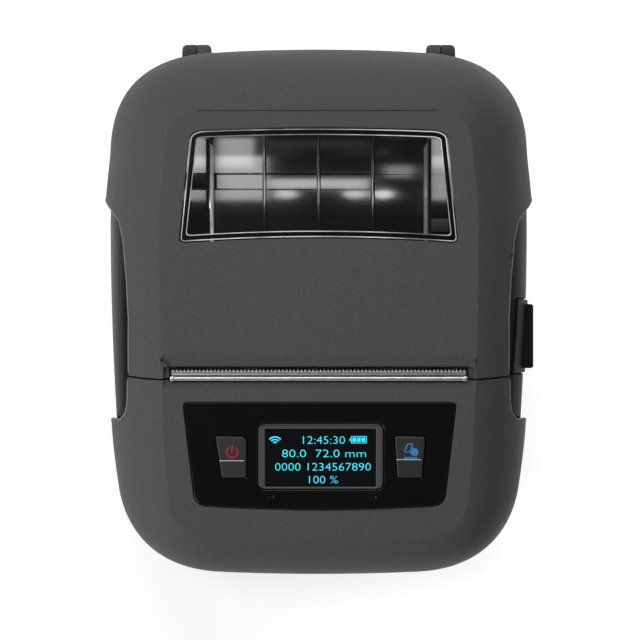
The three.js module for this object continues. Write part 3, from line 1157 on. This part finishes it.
function buildGuides() {
  const pitchRadius = (guidePinion.module * guidePinion.teeth) / 2;
  const pinion = prismZ(gearOutline(guidePinion.teeth, guidePinion.module, quarterTurn)
    .map(([x, y]) => [x, y + bin.y]), guide.rackBottom, guide.rackTop);
  addPart('guide_pinion', pinion.subtract(rodZ(guidePinion.pinRadius + running,
    -overrun, farTop, 0, bin.y)), finishes.gearWhite);

  const pitchLine = bin.y - pitchRadius - train.spread;
  const tipY = pitchLine + toothShares.tipHeight * guidePinion.module;
  const rootY = pitchLine - toothShares.rootDepth * guidePinion.module;
  const pitch = Math.PI * guidePinion.module;
  const count = Math.floor((guide.rackEnd + guide.rackTeethTo) / pitch);
  const outline = [[guide.footTo, guide.rackBackY], [guide.footTo, rootY]];
  for (let index = 0; index < count; index += 1) {
    const centre = guide.rackTeethTo - (index + 1 / 2) * pitch;
    const shifted = Math.round(centre / pitch - 1 / 2) * pitch + pitch / 2;
    outline.push([shifted + (toothShares.root * pitch) / 4, rootY]);
    outline.push([shifted + (toothShares.tip * pitch) / 4, tipY]);
    outline.push([shifted - (toothShares.tip * pitch) / 4, tipY]);
    outline.push([shifted - (toothShares.root * pitch) / 4, rootY]);
  }
  outline.push([-guide.rackEnd, rootY], [-guide.rackEnd, guide.rackBackY]);
  const rack = prismZ(outline, guide.rackBottom, guide.rackTop);
  const outer = guide.inner + guide.thickness;
  const disc = rodX(bin.radius - guide.floorGap, guide.inner, outer, bin.y, bin.z, largeSides);
  const plate = disc.intersect(box(guide.inner, outer, guide.frontY, guide.rearY, 0, guide.top));
  const post = box(guide.inner, outer, guide.rackBackY, guide.footRearY, guide.rackTop + fit, bin.z);
  for (const [name, solid] of [['media_guide', join(plate, post)], ['guide_rack', rack]]) {
    const turned = toGeometry(solid);
    turned.translate(0, -bin.y, 0);
    turned.rotateZ(Math.PI);
    turned.translate(0, bin.y, 0);
    addPart(`${name}_right`, solid, finishes.darkPlastic);
    addPart(`${name}_left`, toSolid(turned), finishes.darkPlastic);
  }
}

function buildLatch() {
  const block = envelope(button.skin).intersect(box(button.inner, farSide, button.frontY, button.rearY,
    button.bottom, button.top));
  const flange = box(button.inner, button.inner + button.flangeThickness, button.frontY - button.flange,
    button.rearY + button.flange, button.bottom - button.flange, button.top + button.flange);
  const reach = halfWidth - button.gripSink;
  const grip = prismZ([
    [button.gripInner, button.gripFrontY], [reach - button.gripChamfer, button.gripFrontY],
    [reach, button.gripFrontY + button.gripChamfer], [reach, button.gripRearY - button.gripChamfer],
    [reach - button.gripChamfer, button.gripRearY], [button.gripInner, button.gripRearY],
  ], button.gripBottom, button.gripTop);
  addPart('latch_button', join(block, flange.intersect(baseInside), grip), finishes.darkPlastic);
  const sleeve = rodX(button.springRadius, frame.to + fit, button.inner - fit,
    button.springY, button.springZ, smallSides);
  const bore = rodX(button.springRadius - button.springWall, frame.to, button.inner,
    button.springY, button.springZ, smallSides);
  addPart('latch_spring', sleeve.subtract(bore), finishes.steel);

  const arms = sides.map(([, side]) => join(
    box(side * latchBar.armFrom, side * latchBar.armTo, latchBar.armFrontY, latchBar.armRearY,
      latchBar.z, latchBar.armTop),
    box(side * latchBar.armFrom, side * latchBar.armTo, latchBar.hookFrontY, latchBar.armRearY,
      latchBar.armTop - latchBar.hookHeight, latchBar.armTop),
  ));
  addPart('latch_bar', join(rodX(latchBar.radius, -latchBar.reach, latchBar.reach, latchBar.y, latchBar.z,
    smallSides), ...arms), finishes.steel);
}

function buildPower() {
  addPart('battery_pack', prismZ(roundedRectangle(-battery.halfWidth, battery.halfWidth, battery.frontY,
    battery.rearY, battery.corner), battery.bottom, battery.top), finishes.darkPlastic);
  addPart('battery_latch', join(
    box(-battery.latchHalf, battery.latchHalf, battery.latchFrontY, battery.latchRearY, battery.latchBottom,
      floorTop + fit + battery.latchFlangeThickness),
    box(-battery.latchHalf - battery.latchFlange, battery.latchHalf + battery.latchFlange,
      battery.latchFrontY - battery.latchFlangeY, battery.latchRearY + battery.latchFlangeY,
      floorTop + fit, floorTop + fit + battery.latchFlangeThickness),
  ), finishes.darkPlastic);
  addPart('battery_contacts', box(-battery.contactHalf, battery.contactHalf, battery.rearY + battery.play,
    battery.contactRearY, battery.contactBottom, battery.contactTop), finishes.brass);
  const bottom = battery.top + fit + battery.play + battery.bayWall + board.padHeight + fit;
  const top = bottom + board.thickness;
  const length = board.rearY - board.frontY;
  const parts = componentShares.map(([left, right, front, rear, height]) => box(
    left * board.halfWidth, right * board.halfWidth,
    board.frontY + front * length, board.frontY + rear * length,
    bottom + board.thickness / 2, top + height * length,
  ));
  addPart('main_board', join(box(-board.halfWidth, board.halfWidth, board.frontY, board.rearY, bottom, top),
    ...parts), finishes.circuit);
}

function buildPorts() {
  const mouth = -port.face - port.inset;
  const halfHeight = port.dataHeight / 2;
  const inner = port.shellWall;
  addPart('data_socket', join(
    carve(
      box(mouth, -port.back, port.dataY - port.dataHalf, port.dataY + port.dataHalf,
        port.socketZ - halfHeight, port.socketZ + halfHeight),
      box(-farSide, -port.back - inner,
        port.dataY - port.dataHalf + inner, port.dataY + port.dataHalf - inner,
        port.socketZ - halfHeight + inner, port.socketZ + halfHeight - inner),
    ),
    box(mouth + inner, -port.back, port.dataY - port.tongueHalf, port.dataY + port.tongueHalf,
      port.socketZ - port.tongueHeight / 2, port.socketZ + port.tongueHeight / 2),
  ), finishes.steel);
  addPart('charge_socket', join(
    carve(
      rodX(port.chargeRadius, mouth, -port.back, port.chargeY, port.socketZ),
      rodX(port.chargeBore, -farSide, -port.back - inner, port.chargeY, port.socketZ),
    ),
    rodX(port.chargePin, mouth + inner, -port.back, port.chargeY, port.socketZ, smallSides),
  ), finishes.darkPlastic);
  const flapHalf = port.halfLength - fit;
  addPart('port_cover', box(-port.flapFace - port.flapThickness, -port.flapFace, -flapHalf, flapHalf,
    port.bottom + fit, port.top - fit), finishes.rubber);
}

buildLid();
buildPlaten();
buildGears();
buildPrintFrame();
buildHead();
buildPaperPath();
buildFrontCover();
buildControls();
buildBase();
buildFasteners();
buildBin();
buildGuides();
buildLatch();
buildPower();
buildPorts();

// The origin lies under the middle of the whole object, knuckles included.
const rearReach = hinge.y + hinge.knuckleRadius;
const frontReach = -outlineShares[outlineShares.length - 1][3][1] * halfLength;
printer.position.y = -(rearReach - frontReach) / 2;

export default printer;
